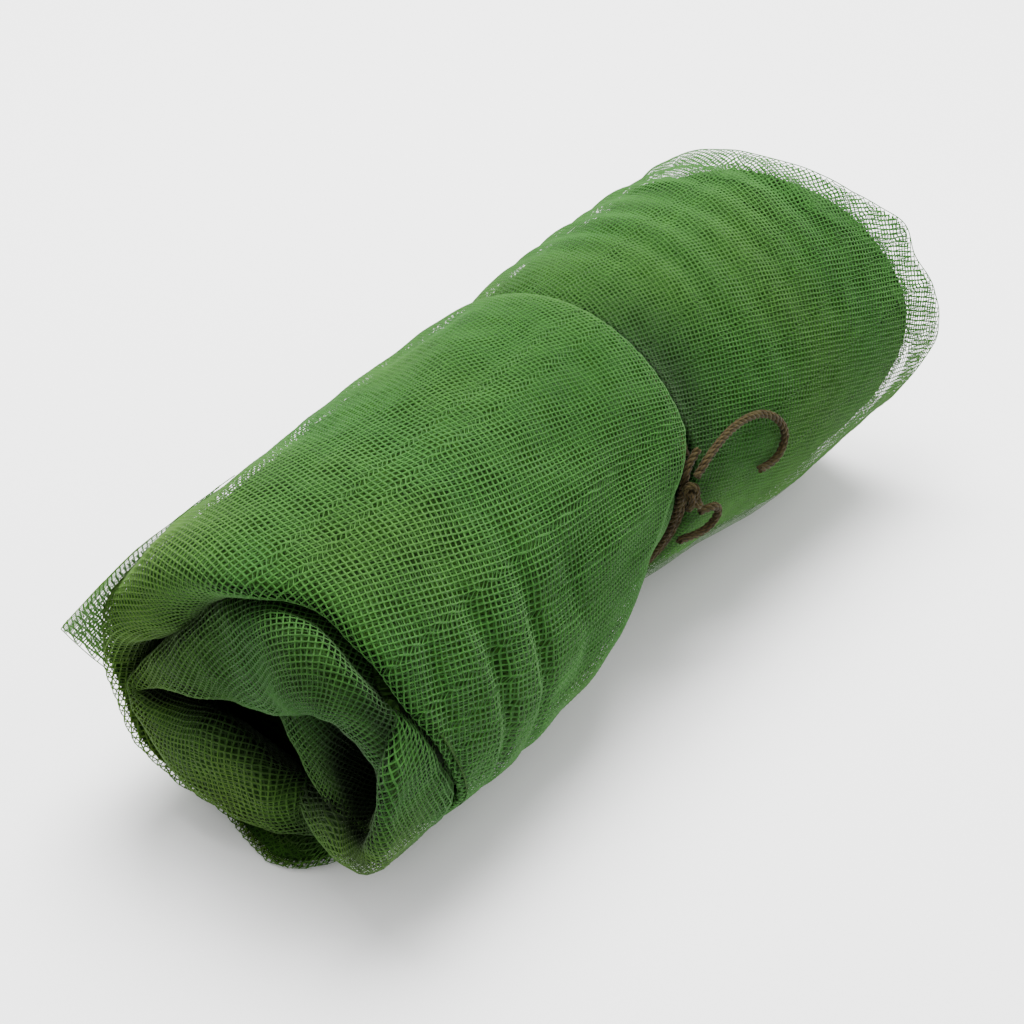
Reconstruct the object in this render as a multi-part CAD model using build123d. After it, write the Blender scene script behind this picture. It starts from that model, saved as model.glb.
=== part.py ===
from build123d import *
import math
import os

# A bundle of fine square-mesh netting, folded, rolled up and tied round its waist with a
# thin twisted cord.  The roll lies on its side along X on the plane z = 0, with its open,
# folded end towards -X.  Each soft solid is the plain outer form of its piece.

os.makedirs("parts", exist_ok=True)

# Driving dimensions of the roll, mm
front_radius = 88.0
waist_radius = 82.5
rear_radius = 85.5
axis_height = 84.0
near_end_x = -196.5
far_end_x = 209.5
near_rim_rounding = 20.0
far_rim_rounding = 28.0
shoulder_rounding = 90.0
far_end_taper = 3.0

# The tie round the waist
cord_diameter = 4.0
tie_x = 28.5
tie_lean = 11.0
groove_major = 86.3
groove_minor = 11.3
wrap_radius = 77.3
wrap_spacing = 4.3

# The single layers of net that stand out past the two ends
layer_thickness = 1.0
layer_gap = 0.4
far_edge_x = 228.5
far_edge_start_x = 150.0
far_edge_first_angle = -95.0
far_edge_last_angle = 125.0
corner_tip_x = -228.5
corner_tip_height = 119.0
corner_top = (-120.0, 160.0)
corner_bottom = (-190.0, 55.0)

# The knot, at an angle from the top of the roll towards -Y
knot_angle = 77.0
knot_x = 28.0
knot_centre_radius = 85.8
knot_half_size = (7.0, 5.0, 9.5)


def on_roll(x, angle, radius):
    """A point at a height along the roll, an angle from its top towards -Y and a radius."""
    turn = math.radians(angle)
    return Vector(x, -radius * math.sin(turn), axis_height + radius * math.cos(turn))


def roll_profile():
    """Half the lengthwise section of the roll, with its own axis along X."""
    outline = Polyline(
        (near_end_x, 0),
        (near_end_x, front_radius),
        (tie_x - 70, front_radius),
        (tie_x, waist_radius),
        (tie_x + 45, rear_radius),
        (far_end_x, rear_radius - far_end_taper),
        (far_end_x, 0),
        close=True,
    )
    face = make_face(Plane.XZ * outline)
    roundings = {
        near_end_x: near_rim_rounding,
        tie_x - 70: shoulder_rounding,
        tie_x: shoulder_rounding,
        tie_x + 45: shoulder_rounding,
        far_end_x: far_rim_rounding,
    }
    for x, rounding in roundings.items():
        corner = [v for v in face.vertices() if abs(v.X - x) < 0.01 and v.Z > 1]
        face = fillet(corner, rounding)
    return face


def tie_plane():
    """The plane of the tie, which leans: it crosses the top of the roll further along +X."""
    lean = math.radians(tie_lean)
    return Plane(origin=(tie_x, 0, axis_height), z_dir=(math.cos(lean), 0, -math.sin(lean)))


def net_halves():
    """The two bulging halves of the roll, flattened where they lie and waisted by the tie."""
    roll = Pos(0, 0, axis_height) * revolve(roll_profile(), Axis.X)
    below = Pos(0, 0, -front_radius / 2) * Box(2 * far_edge_x, 2 * front_radius, front_radius)
    roll = roll - below - Location(tie_plane()) * Torus(groove_major, groove_minor)
    front = split(roll, bisect_by=tie_plane(), keep=Keep.BOTTOM)
    rear = split(roll, bisect_by=tie_plane(), keep=Keep.TOP)
    return front, rear


def layer_sleeve(start_x, end_x, inner_radius, first_angle, last_angle):
    """A thin curved layer that hugs the roll between two angles from its top."""
    strip = Plane.XZ * Rectangle(
        end_x - start_x, layer_thickness, align=(Align.MIN, Align.MIN)
    )
    strip = Pos(start_x, 0, inner_radius) * strip
    sleeve = revolve(strip, Axis.X, last_angle - first_angle)
    return Pos(0, 0, axis_height) * Rot(X=first_angle) * sleeve


def far_edge_layer():
    """The loose edge of the net, one layer thick, standing out past the far rim."""
    inner = rear_radius + layer_gap
    return layer_sleeve(
        far_edge_start_x, far_edge_x, inner, far_edge_first_angle, far_edge_last_angle
    )


def near_corner_layer():
    """The folded corner of the net, standing out past the near rim on the +Y side."""
    sleeve = layer_sleeve(corner_tip_x, corner_top[0], front_radius + layer_gap, -125, -20)
    tip = (corner_tip_x, corner_tip_height)
    triangle = make_face(Plane.XZ * Polyline(tip, corner_top, corner_bottom, close=True))
    wedge = extrude(triangle, amount=2 * front_radius, dir=(0, 1, 0))
    return sleeve & wedge


def corner_radii(route):
    """The largest arc that each corner of a cord's route has room for."""
    radii = []
    for before, here, after in zip(route, route[1:], route[2:]):
        shorter = min((here - before).length, (after - here).length)
        turn = (here - before).get_angle(after - here)
        radii.append(0.45 * shorter / math.tan(math.radians(turn / 2)))
    return radii


def cord_tube(name, route):
    """A round tube of straight runs joined by tangent arcs, with its radii printed."""
    radii = corner_radii(route)
    path = FilletPolyline(*route, radius=radii)
    section = Plane(origin=path @ 0, z_dir=path % 0) * Circle(cord_diameter / 2)
    tube = sweep(section, path=path)
    expected = math.pi * (cord_diameter / 2) ** 2 * path.length
    print(
        name,
        "length %.1f" % path.length,
        "radii",
        [round(r, 1) for r in radii],
        "volume share %.4f" % (tube.volume / expected),
    )
    return tube


def wrap_ring(side):
    """One of the two turns of cord that lie side by side in the groove."""
    ring_plane = tie_plane().offset(side * wrap_spacing / 2)
    return Location(ring_plane) * Torus(wrap_radius, cord_diameter / 2)


def knot():
    """The knot, as the plain form of its outline."""
    ball = scale(Sphere(1), by=knot_half_size)
    place = on_roll(knot_x, knot_angle, knot_centre_radius)
    return Pos(place) * Rot(X=knot_angle - 90) * ball


# Routes of the free ends: along the roll, angle from its top towards -Y, radius
long_tail = [
    (29.0, 70.0, 87.5),
    (35.0, 67.0, 89.5),
    (45.0, 65.2, 89.5),
    (59.0, 64.2, 89.2),
    (72.0, 65.0, 89.0),
    (84.0, 68.0, 89.0),
    (93.0, 74.0, 89.0),
    (96.5, 80.5, 89.0),
    (93.0, 86.5, 89.0),
    (84.5, 88.5, 89.0),
    (77.0, 87.0, 89.0),
]
bow_loop = [
    (30.5, 84.6, 87.0),
    (35.5, 84.0, 90.0),
    (42.0, 86.5, 90.5),
    (43.5, 92.0, 90.5),
    (38.0, 96.0, 89.5),
    (29.5, 96.0, 87.0),
    (21.5, 95.0, 84.5),
]
short_end = [
    (27.0, 69.5, 82.5),
    (33.5, 66.5, 81.5),
    (40.0, 64.5, 82.5),
]

front, rear = net_halves()
nodes = {
    "net_roll_front_half": front,
    "net_roll_rear_half": rear,
    "net_near_corner_layer": near_corner_layer(),
    "net_far_edge_layer": far_edge_layer(),
    "tie_cord_front_turn": wrap_ring(-1),
    "tie_cord_rear_turn": wrap_ring(1),
    "tie_cord_knot": knot(),
}
free_ends = {
    "tie_cord_long_tail": long_tail,
    "tie_cord_bow_loop": bow_loop,
    "tie_cord_short_end": short_end,
}
for name, places in free_ends.items():
    nodes[name] = cord_tube(name, [on_roll(*place) for place in places])

for name, shape in nodes.items():
    print(name, "volume %.0f" % shape.volume)
    export_step(shape, f"parts/{name}.step")
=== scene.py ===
# %% [markdown]
# # A rolled mesh net, tied with a cord
#
# This lesson builds a bundle of fine green netting that was folded, rolled up and tied round its
# waist with a thin twisted cord. Everything is soft, so the work is of three kinds: smooth surfaces
# that say how each layer of the net lies, a Geometry Nodes tree that weaves real threads over such
# a surface, and a second tree that twists strands along a cord's route.

# %% Load the frame
import math

import bpy
import numpy as np
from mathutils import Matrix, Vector, noise


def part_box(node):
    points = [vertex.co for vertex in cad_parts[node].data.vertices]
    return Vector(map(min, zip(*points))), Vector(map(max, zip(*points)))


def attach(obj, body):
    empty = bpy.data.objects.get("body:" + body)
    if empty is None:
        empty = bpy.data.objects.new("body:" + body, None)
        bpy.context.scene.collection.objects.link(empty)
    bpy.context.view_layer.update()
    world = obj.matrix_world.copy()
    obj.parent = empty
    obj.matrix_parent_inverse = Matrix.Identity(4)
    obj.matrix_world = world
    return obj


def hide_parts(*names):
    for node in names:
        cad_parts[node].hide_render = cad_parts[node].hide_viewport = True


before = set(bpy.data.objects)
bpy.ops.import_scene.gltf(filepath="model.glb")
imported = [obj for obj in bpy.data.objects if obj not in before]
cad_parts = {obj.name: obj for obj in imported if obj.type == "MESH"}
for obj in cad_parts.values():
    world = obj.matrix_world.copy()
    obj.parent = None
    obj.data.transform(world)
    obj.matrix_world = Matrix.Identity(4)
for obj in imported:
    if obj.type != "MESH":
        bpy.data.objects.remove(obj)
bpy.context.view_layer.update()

# %% [markdown]
# ## Sizes that come from the frame
#
# The CAD roll is two plain halves with a groove between them. The radius of each half, the height of
# the axis and the place of the tie are read from the boxes of the nodes, so that the layers of net
# lie on the solids that they stand for.

# %% Sizes of the roll and the tie
MM = 0.001
front_low, front_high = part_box("net_roll_front_half")
rear_low, rear_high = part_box("net_roll_rear_half")
turn_low, turn_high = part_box("tie_cord_front_turn")
next_low, next_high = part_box("tie_cord_rear_turn")

FRONT_R = (front_high.y - front_low.y) / 2
REAR_R = (rear_high.y - rear_low.y) / 2
AXIS_Z = front_high.z - FRONT_R
TIE_X = (turn_low.x + turn_high.x + next_low.x + next_high.x) / 4
CORD_D = 4 * MM
WRAP_R = (turn_high.y - turn_low.y) / 2 - CORD_D / 2
TIE_LEAN = math.radians(11)
print("radii", round(FRONT_R, 4), round(REAR_R, 4), "tie at", round(TIE_X, 4), "wrap", round(WRAP_R, 4))

# %% [markdown]
# ## Camera
#
# A long lens from about a metre and a half, above and beside the open end, shows the folds of the
# near end and the whole length of the roll.

# %% Camera
CAMERA_AZIMUTH = math.radians(-53.1)
CAMERA_ELEVATION = math.radians(40.0)
CAMERA_DISTANCE = 1.549
CAMERA_LENS = 114.8
aim = Vector((-0.0071, 0.0, 0.0758))

camera_data = bpy.data.cameras.new("camera")
camera_data.lens = CAMERA_LENS
camera_data.sensor_width = 36.0
camera = bpy.data.objects.new("camera", camera_data)
bpy.context.scene.collection.objects.link(camera)
towards_camera = Vector((
    math.sin(CAMERA_AZIMUTH) * math.cos(CAMERA_ELEVATION),
    -math.cos(CAMERA_AZIMUTH) * math.cos(CAMERA_ELEVATION),
    math.sin(CAMERA_ELEVATION),
))
camera.location = aim + CAMERA_DISTANCE * towards_camera
camera.rotation_euler = (-towards_camera).to_track_quat("-Z", "Y").to_euler()
bpy.context.scene.camera = camera
print("camera at", [round(v, 3) for v in camera.location])

# %% [markdown]
# ## Small helpers for smooth rows of numbers
#
# Layers are described by a few key values, at angles round the roll or at steps along a path. A
# closed or open Catmull-Rom curve through them gives every value between.

# %% Curves through key values
def through(keys, where, closed=False):
    """Values of a Catmull-Rom curve through rows of keys, at places from 0 to the last key."""
    keys = np.asarray(keys, float).reshape(len(keys), -1)
    where = np.asarray(where, float)
    cell = np.floor(where).astype(int)
    if not closed:
        cell = np.clip(cell, 0, len(keys) - 2)
    t = (where - cell)[:, None]
    last = len(keys) - 1
    pick = (lambda k: keys[k % len(keys)]) if closed else (lambda k: keys[np.clip(k, 0, last)])
    a, b, c, d = pick(cell - 1), pick(cell), pick(cell + 1), pick(cell + 2)
    square = (2 * a - 5 * b + 4 * c - d) * t ** 2
    cube = (3 * b - a - 3 * c + d) * t ** 3
    return 0.5 * (2 * b + (c - a) * t + square + cube)


def ramp(value, start, end):
    """A smooth step from 0 at start to 1 at end."""
    t = np.clip((value - start) / (end - start), 0, 1)
    return t * t * (3 - 2 * t)


def hump(angle, centre, width):
    """A smooth bump, 1 at an angle and fading over a width, both in degrees, round a circle."""
    away = (np.asarray(angle) - centre + 180) % 360 - 180
    return np.exp(-(away / width) ** 2)


def ripple(points, size, seed):
    """Soft noise from -1 to 1 at an array of points, with a feature size in metres."""
    flat = points.reshape(-1, 3) / size + seed * 7.31
    values = [noise.noise(Vector(p)) for p in flat]
    return np.array(values).reshape(points.shape[:-1])


def pinch(x, angle):
    """How far the tie draws the roll in, low on the side of the knot, at places along the roll."""
    along = np.asarray(x) - TIE_X
    reach = np.where(along > 0, 1 - ramp(along, 0.022, 0.105), 1 - ramp(-along, 0.004, 0.085))
    return 0.0125 * reach * hump(angle, 124, 44)


def round_the_roll(x, angle, radius):
    """Points at places along the roll, angles in degrees from its top towards -Y, and radii."""
    turn = np.radians(angle)
    radius = radius - pinch(x, angle)
    x, turn, radius = np.broadcast_arrays(x, turn, radius)
    return np.stack([x, -radius * np.sin(turn), AXIS_Z + radius * np.cos(turn)], axis=-1)


def arc_lengths(points, axis):
    """Running length of a grid of points along one of its axes."""
    steps = np.linalg.norm(np.diff(points, axis=axis), axis=-1)
    start = np.zeros_like(np.take(steps, [0], axis=axis))
    return np.concatenate([start, np.cumsum(steps, axis=axis)], axis=axis)


print("helpers ready")

# %% [markdown]
# ## A layer as a smooth sheet
#
# Each layer starts as a grid of points with a UV map in metres, which says where every point was
# when the net lay flat. The threads are woven in that flat plane and then carried to the surface, so
# they bend and shear with the layer as real netting does.

# %% Sheet helper
def sheet_object(name, points, flat, deep=None):
    """A mesh of quads through a grid of points, with its flat coordinates as a UV map.

    deep says, from 0 to 1, how far inside a fold each point is; the materials darken the yarn there, as
    painted shade."""
    rows, columns = points.shape[:2]
    index = np.arange(rows * columns).reshape(rows, columns)
    quads = np.stack([index[:-1, :-1], index[1:, :-1], index[1:, 1:], index[:-1, 1:]], axis=-1)
    mesh = bpy.data.meshes.new(name)
    mesh.from_pydata(points.reshape(-1, 3).tolist(), [], quads.reshape(-1, 4).tolist())
    layer = mesh.uv_layers.new(name="flat")
    corner_vertex = np.empty(len(mesh.loops), int)
    mesh.loops.foreach_get("vertex_index", corner_vertex)
    layer.data.foreach_set("uv", flat.reshape(-1, 2)[corner_vertex].ravel())
    mesh.polygons.foreach_set("use_smooth", [True] * len(mesh.polygons))
    # deep is painted shade: the materials darken the yarn where it is high.
    shade = mesh.attributes.new("deep", "FLOAT", "POINT")
    shade.data.foreach_set("value", np.zeros(rows * columns) if deep is None else deep.ravel())
    piece = bpy.data.objects.new(name, mesh)
    bpy.context.scene.collection.objects.link(piece)
    return piece


print("sheet helper ready")

# %% [markdown]
# ## The weaving tree
#
# The netting is a square mesh of hundreds of thin threads, so one Geometry Nodes tree weaves it. A
# texture of holes would be lighter, but its threads would have no thickness at the outline. Nodes of a
# tree are added with one short helper, which sets the options and joins the inputs.

# %% Node helper
def node_maker(tree):
    """A short way to add a node, set its options and join its inputs."""
    def add(kind, inputs=None, **options):
        node = tree.nodes.new(kind)
        for option, value in options.items():
            setattr(node, option, value)
        for key, value in (inputs or {}).items():
            socket = node.inputs[key]
            if isinstance(value, bpy.types.NodeSocket):
                tree.links.new(value, socket)
            else:
                socket.default_value = value
        return node
    return add


print("node helper ready")

# %% [markdown]
# The tree lays out a grid with three or two lines to a thread, cuts the holes, turns the grid to the
# threads' bearing, lets it wander a little, and carries every point to the sheet through its UV map.
# With three lines, the raised middle one makes each thread a rounded ridge. The layers below are flat
# ribbons of two lines, which saves more than half the triangles where nobody looks closely.

# %% Weaving tree
def weaving_tree():
    """Threads of a square mesh carried to a sheet by its UV map."""
    tree = bpy.data.node_groups.new("weave over a sheet", "GeometryNodeTree")
    face = tree.interface
    face.new_socket("Sheet", in_out="INPUT", socket_type="NodeSocketGeometry")
    for name, kind in (
        ("Pitch", "NodeSocketFloat"), ("Lines", "NodeSocketFloat"),
        ("Thread", "NodeSocketFloat"), ("Height", "NodeSocketFloat"),
        ("Columns", "NodeSocketInt"), ("Rows", "NodeSocketInt"), ("Centre", "NodeSocketVector"),
        ("Bearing", "NodeSocketFloat"), ("Wander", "NodeSocketFloat"), ("Jitter", "NodeSocketFloat"),
        ("Seed", "NodeSocketInt"), ("Material", "NodeSocketMaterial"),
    ):
        face.new_socket(name, in_out="INPUT", socket_type=kind)
    face.new_socket("Net", in_out="OUTPUT", socket_type="NodeSocketGeometry")
    add = node_maker(tree)
    given = add("NodeGroupInput").outputs

    def maths(operation, a, b=0.0, c=None):
        inputs = {0: a, 1: b} if c is None else {0: a, 1: b, 2: c}
        return add("ShaderNodeMath", inputs, operation=operation).outputs[0]

    def vector(operation, a, b=None, scale=None):
        node = add("ShaderNodeVectorMath", {0: a}, operation=operation)
        if b is not None:
            tree.links.new(b, node.inputs[1])
        if scale is not None:
            tree.links.new(scale, node.inputs["Scale"])
        return node.outputs[0]

    # A flat grid whose points are one unit apart: three or two lines to a thread, then a hole.
    last_line = maths("SUBTRACT", given["Lines"], 1.0)
    wide = maths("MULTIPLY", given["Columns"], given["Lines"])
    deep = maths("MULTIPLY", given["Rows"], given["Lines"])
    grid = add("GeometryNodeMeshGrid", {
        "Size X": wide, "Size Y": deep,
        "Vertices X": maths("ADD", wide, 1.0), "Vertices Y": maths("ADD", deep, 1.0),
    }).outputs["Mesh"]
    place = add("ShaderNodeSeparateXYZ", {0: add("GeometryNodeInputPosition").outputs[0]}).outputs
    across = maths("ADD", place[0], maths("MULTIPLY", wide, 0.5))
    along = maths("ADD", place[1], maths("MULTIPLY", deep, 0.5))
    hole = maths("MULTIPLY",
                 maths("GREATER_THAN", maths("FLOORED_MODULO", across, given["Lines"]), last_line),
                 maths("GREATER_THAN", maths("FLOORED_MODULO", along, given["Lines"]), last_line))
    threads = add("GeometryNodeDeleteGeometry", {0: grid, 1: hole}, domain="FACE").outputs[0]

    # Which thread a point is on, and which of the thread's lines.
    def split_line(value):
        line = maths("FLOOR", maths("ADD", value, 0.5))
        thread = maths("FLOOR", maths("DIVIDE", maths("ADD", line, 0.5), given["Lines"]))
        part = maths("SUBTRACT", line, maths("MULTIPLY", thread, given["Lines"]))
        flat = maths("ADD", maths("MULTIPLY", thread, given["Pitch"]),
                     maths("MULTIPLY", part, maths("DIVIDE", given["Thread"], last_line)))
        ridge = maths("COMPARE", part, 1.0, 0.1)
        return thread, flat, ridge

    thread_x, flat_x, ridge_x = split_line(across)
    thread_y, flat_y, ridge_y = split_line(along)
    ridge = maths("MAXIMUM", ridge_x, ridge_y)
    knot = maths("MULTIPLY", ridge_x, ridge_y)
    lift = maths("ADD", ridge, maths("MULTIPLY", knot, 0.35))

    # The flat place of the point: centred, turned to the bearing, wandering and jittered.
    middle_x = maths("MULTIPLY", maths("MULTIPLY", given["Columns"], given["Pitch"]), 0.5)
    middle_y = maths("MULTIPLY", maths("MULTIPLY", given["Rows"], given["Pitch"]), 0.5)
    flat = add("ShaderNodeCombineXYZ", {
        0: maths("SUBTRACT", flat_x, middle_x), 1: maths("SUBTRACT", flat_y, middle_y)}).outputs[0]
    crossing = add("ShaderNodeCombineXYZ", {0: thread_x, 1: thread_y, 2: given["Seed"]}).outputs[0]
    chance = add("ShaderNodeTexWhiteNoise", {"Vector": crossing}, noise_dimensions="3D")
    shake = vector("SUBTRACT", chance.outputs["Color"],
                   add("FunctionNodeInputVector", vector=(0.5, 0.5, 0.5)).outputs[0])
    shake = vector("SCALE", shake, scale=given["Jitter"])
    flat = vector("ADD", flat, shake)
    turned = add("ShaderNodeVectorRotate", {"Vector": flat, "Angle": given["Bearing"]},
                 rotation_type="Z_AXIS").outputs[0]
    turned = vector("ADD", turned, given["Centre"])
    drift = add("ShaderNodeTexNoise", {
        "Vector": turned, "Scale": 9.0, "Detail": 1.5, "W": given["Seed"]}, noise_dimensions="4D")
    drift = vector("SUBTRACT", drift.outputs["Color"],
                   add("FunctionNodeInputVector", vector=(0.5, 0.5, 0.5)).outputs[0])
    turned = vector("ADD", turned, vector("SCALE", drift, scale=given["Wander"]))
    flattener = add("ShaderNodeSeparateXYZ", {0: turned}).outputs
    target = add("ShaderNodeCombineXYZ", {0: flattener[0], 1: flattener[1]}).outputs[0]

    # Keep what falls on the sheet, and note where on the net each point is, for the material.
    kept = add("GeometryNodeStoreNamedAttribute", {
        "Geometry": threads, "Name": "target", "Value": target}, data_type="FLOAT_VECTOR", domain="POINT")
    kept = add("GeometryNodeStoreNamedAttribute", {
        "Geometry": kept.outputs[0], "Name": "lift", "Value": lift}, data_type="FLOAT", domain="POINT")
    here = add("GeometryNodeInputNamedAttribute", {"Name": "target"}, data_type="FLOAT_VECTOR").outputs[0]
    up = add("GeometryNodeInputNamedAttribute", {"Name": "lift"}, data_type="FLOAT").outputs[0]
    flat_map = add("GeometryNodeInputNamedAttribute", {"Name": "flat"}, data_type="FLOAT_VECTOR").outputs[0]

    def on_sheet(value, kind="FLOAT_VECTOR"):
        return add("GeometryNodeSampleUVSurface", {
            "Mesh": given["Sheet"], "Value": value, "Source UV Map": flat_map, "Sample UV": here,
        }, data_type=kind)

    surface = on_sheet(add("GeometryNodeInputPosition").outputs[0])
    normal = on_sheet(add("GeometryNodeInputNormal").outputs[0])
    # The sheet's deep value, which the materials turn into painted shade, is carried over to the threads.
    painted_shade_here = add("GeometryNodeInputNamedAttribute", {"Name": "deep"}, data_type="FLOAT").outputs[0]
    shade = on_sheet(painted_shade_here, "FLOAT")
    threads_with_painted_shade = add("GeometryNodeStoreNamedAttribute", {
        "Geometry": kept.outputs[0], "Name": "deep", "Value": shade.outputs["Value"]},
        data_type="FLOAT", domain="POINT")
    off = maths("SUBTRACT", 1.0, surface.outputs["Is Valid"])
    on = add("GeometryNodeDeleteGeometry", {0: threads_with_painted_shade.outputs[0], 1: off}, domain="POINT").outputs[0]
    raised = vector("SCALE", normal.outputs["Value"], scale=maths("MULTIPLY", up, given["Height"]))
    moved = add("GeometryNodeSetPosition", {
        "Geometry": on, "Position": vector("ADD", surface.outputs["Value"], raised)}).outputs[0]
    mapped = add("GeometryNodeStoreNamedAttribute", {
        "Geometry": moved, "Name": "net map", "Value": here}, data_type="FLOAT2", domain="CORNER").outputs[0]
    bare = add("GeometryNodeRemoveAttribute", {"Geometry": mapped, "Name": "target"}).outputs[0]
    smooth = add("GeometryNodeSetShadeSmooth", {"Geometry": bare}).outputs[0]
    real = add("GeometryNodeRealizeInstances", {"Geometry": smooth}).outputs[0]
    done = add("GeometryNodeSetMaterial", {"Geometry": real, "Material": given["Material"]}).outputs[0]
    add("NodeGroupOutput", {"Net": done})
    return tree


WEAVE = weaving_tree()
print("weaving tree has", len(WEAVE.nodes), "nodes")

# %% [markdown]
# Running the tree turns a sheet into plain threads: the modifier is set by socket identifier, the
# evaluated object becomes a new mesh, and the smooth sheet is thrown away. The mesh is a little under
# 3 mm, the threads are about a quarter of that, and their ridge is about half as high as they are wide.

# %% Weave a piece of net
MESH_PITCH = 2.95 * MM
THREAD = 0.68 * MM
THREAD_HEIGHT = 0.36 * MM


def run_tree(tree, source, name, values):
    """A plain mesh object made by a node tree on a source object, which is then removed."""
    modifier = source.modifiers.new("tree", "NODES")
    modifier.node_group = tree
    names = {s.name: s.identifier for s in tree.interface.items_tree if s.in_out == "INPUT"}
    for key, value in values.items():
        modifier[names[key]] = value
    evaluated = source.evaluated_get(bpy.context.evaluated_depsgraph_get())
    mesh = bpy.data.meshes.new_from_object(evaluated)
    mesh.name = name
    source.modifiers.clear()
    bpy.data.objects.remove(source)
    piece = bpy.data.objects.new(name, mesh)
    bpy.context.scene.collection.objects.link(piece)
    return piece


def weave(name, points, flat, material, bearing=20.0, shift=(0.0, 0.0), rounded=True, seed=1, wander=4.0,
          deep=None, thread=THREAD):
    """Net over a grid of points, with its threads at a bearing in degrees from the flat map's first way."""
    low, high = flat.reshape(-1, 2).min(0), flat.reshape(-1, 2).max(0)
    turn = math.radians(bearing)
    span = np.abs(high - low)
    reach_x = span[0] * abs(math.cos(turn)) + span[1] * abs(math.sin(turn))
    reach_y = span[0] * abs(math.sin(turn)) + span[1] * abs(math.cos(turn))
    middle = (low + high) / 2
    sheet = sheet_object(name + " sheet", points, flat, deep)
    return run_tree(WEAVE, sheet, name, {
        "Pitch": MESH_PITCH, "Thread": thread,
        "Height": THREAD_HEIGHT if rounded else 0.0, "Lines": 3.0 if rounded else 2.0,
        "Columns": int(reach_x / MESH_PITCH) + 6, "Rows": int(reach_y / MESH_PITCH) + 6,
        "Centre": (float(middle[0] + shift[0]), float(middle[1] + shift[1]), 0.0),
        "Bearing": turn, "Wander": wander * MM, "Jitter": 0.35 * MM, "Seed": seed, "Material": material,
    })


print("mesh pitch", MESH_PITCH, "thread", THREAD)

# %% [markdown]
# ## Layers of net
#
# Net in a roll is never one layer. Where it lies on the roll, the threads of a second layer show in
# the holes of the first, a little deeper and at another angle, and under those the deeper layers
# blend into a dark green body. Each region is made as those three things, on smooth surfaces that lie
# close together.

# %% Layer helpers
def outward(points, middle):
    """Unit normals of a grid of points, turned away from a middle point or points."""
    across = np.gradient(points, axis=0)
    along = np.gradient(points, axis=1)
    normal = np.cross(across, along)
    normal /= np.linalg.norm(normal, axis=-1, keepdims=True) + 1e-12
    side = np.sum(normal * (points - middle), axis=-1)
    return normal if side.mean() > 0 else -normal


def facing(points, flat, normal, deep=None):
    """The same grid with its second axis reversed if its quads would face inwards."""
    deep = np.zeros(points.shape[:2]) if deep is None else deep
    across = np.gradient(points, axis=0)
    along = np.gradient(points, axis=1)
    if np.sum(np.cross(across, along) * normal, axis=-1).mean() < 0:
        return points[:, ::-1], flat[:, ::-1], normal[:, ::-1], deep[:, ::-1]
    return points, flat, normal, deep


def above_floor(points, least=0.0006):
    """Points with the low ones pressed up, softly, as cloth is pressed flat by a floor."""
    z = points[..., 2] - least
    soft = 0.004
    lifted = np.where(z > soft, z, soft * np.exp(np.minimum(z / soft - 1, 0)))
    result = points.copy()
    result[..., 2] = lifted + least
    return result


def hem(name, line, thick=0.5 * MM):
    """The bound edge of the net: a thin round strand along a line of points."""
    curve = bpy.data.curves.new(name, "CURVE")
    curve.dimensions = "3D"
    curve.bevel_depth = thick / 2
    curve.bevel_resolution = 1
    spline = curve.splines.new("POLY")
    spline.points.add(len(line) - 1)
    spline.points.foreach_set("co", np.column_stack([line, np.ones(len(line))]).ravel())
    source = bpy.data.objects.new(name + " line", curve)
    bpy.context.scene.collection.objects.link(source)
    mesh = bpy.data.meshes.new_from_object(source)
    bpy.data.objects.remove(source)
    mesh.materials.clear()
    mesh.materials.append(NET)
    piece = bpy.data.objects.new(name, mesh)
    bpy.context.scene.collection.objects.link(piece)
    return piece


def layers(name, skin, inner, seed, rounded=True, bearing=20.0, depth=1.9, body=4.2, body_from=0):
    """Outer threads on one surface, and the second layer's threads and the dark body on another."""
    points, flat, normal, deep = facing(*skin)
    outer = weave(name, points, flat, NET, bearing, seed=seed, rounded=rounded, deep=deep)
    points, flat, normal, deep = facing(*inner)
    second = weave(
        name + "_second", points - normal * depth * MM, flat, SHADED_UNDER_NET, bearing + 7.0,
        shift=(1.1 * MM, 0.7 * MM), rounded=False, seed=seed + 50, wander=7.0, deep=deep)
    dark = above_floor(points - normal * body * MM, 0.004)
    dark = sheet_object(name + "_body", dark[body_from:], flat[body_from:], deep[body_from:])
    dark.data.materials.append(BODY)
    return [outer, second, dark]


print("layer helpers ready")

# %% [markdown]
# ## What the net is made of
#
# The net is woven from thin soft green yarn. It is paler and more yellow where it is worn, a little
# light comes through it, and each thread shows the faint slant of its twist. One material with three
# sets of colours serves the outer threads, the layer below, whose darker colours are painted shade,
# and the loose corner, whose lighter colours are painted light that comes through it from behind.

# %% Yarn of the net
TWIST_SCALE = 2600.0


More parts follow.
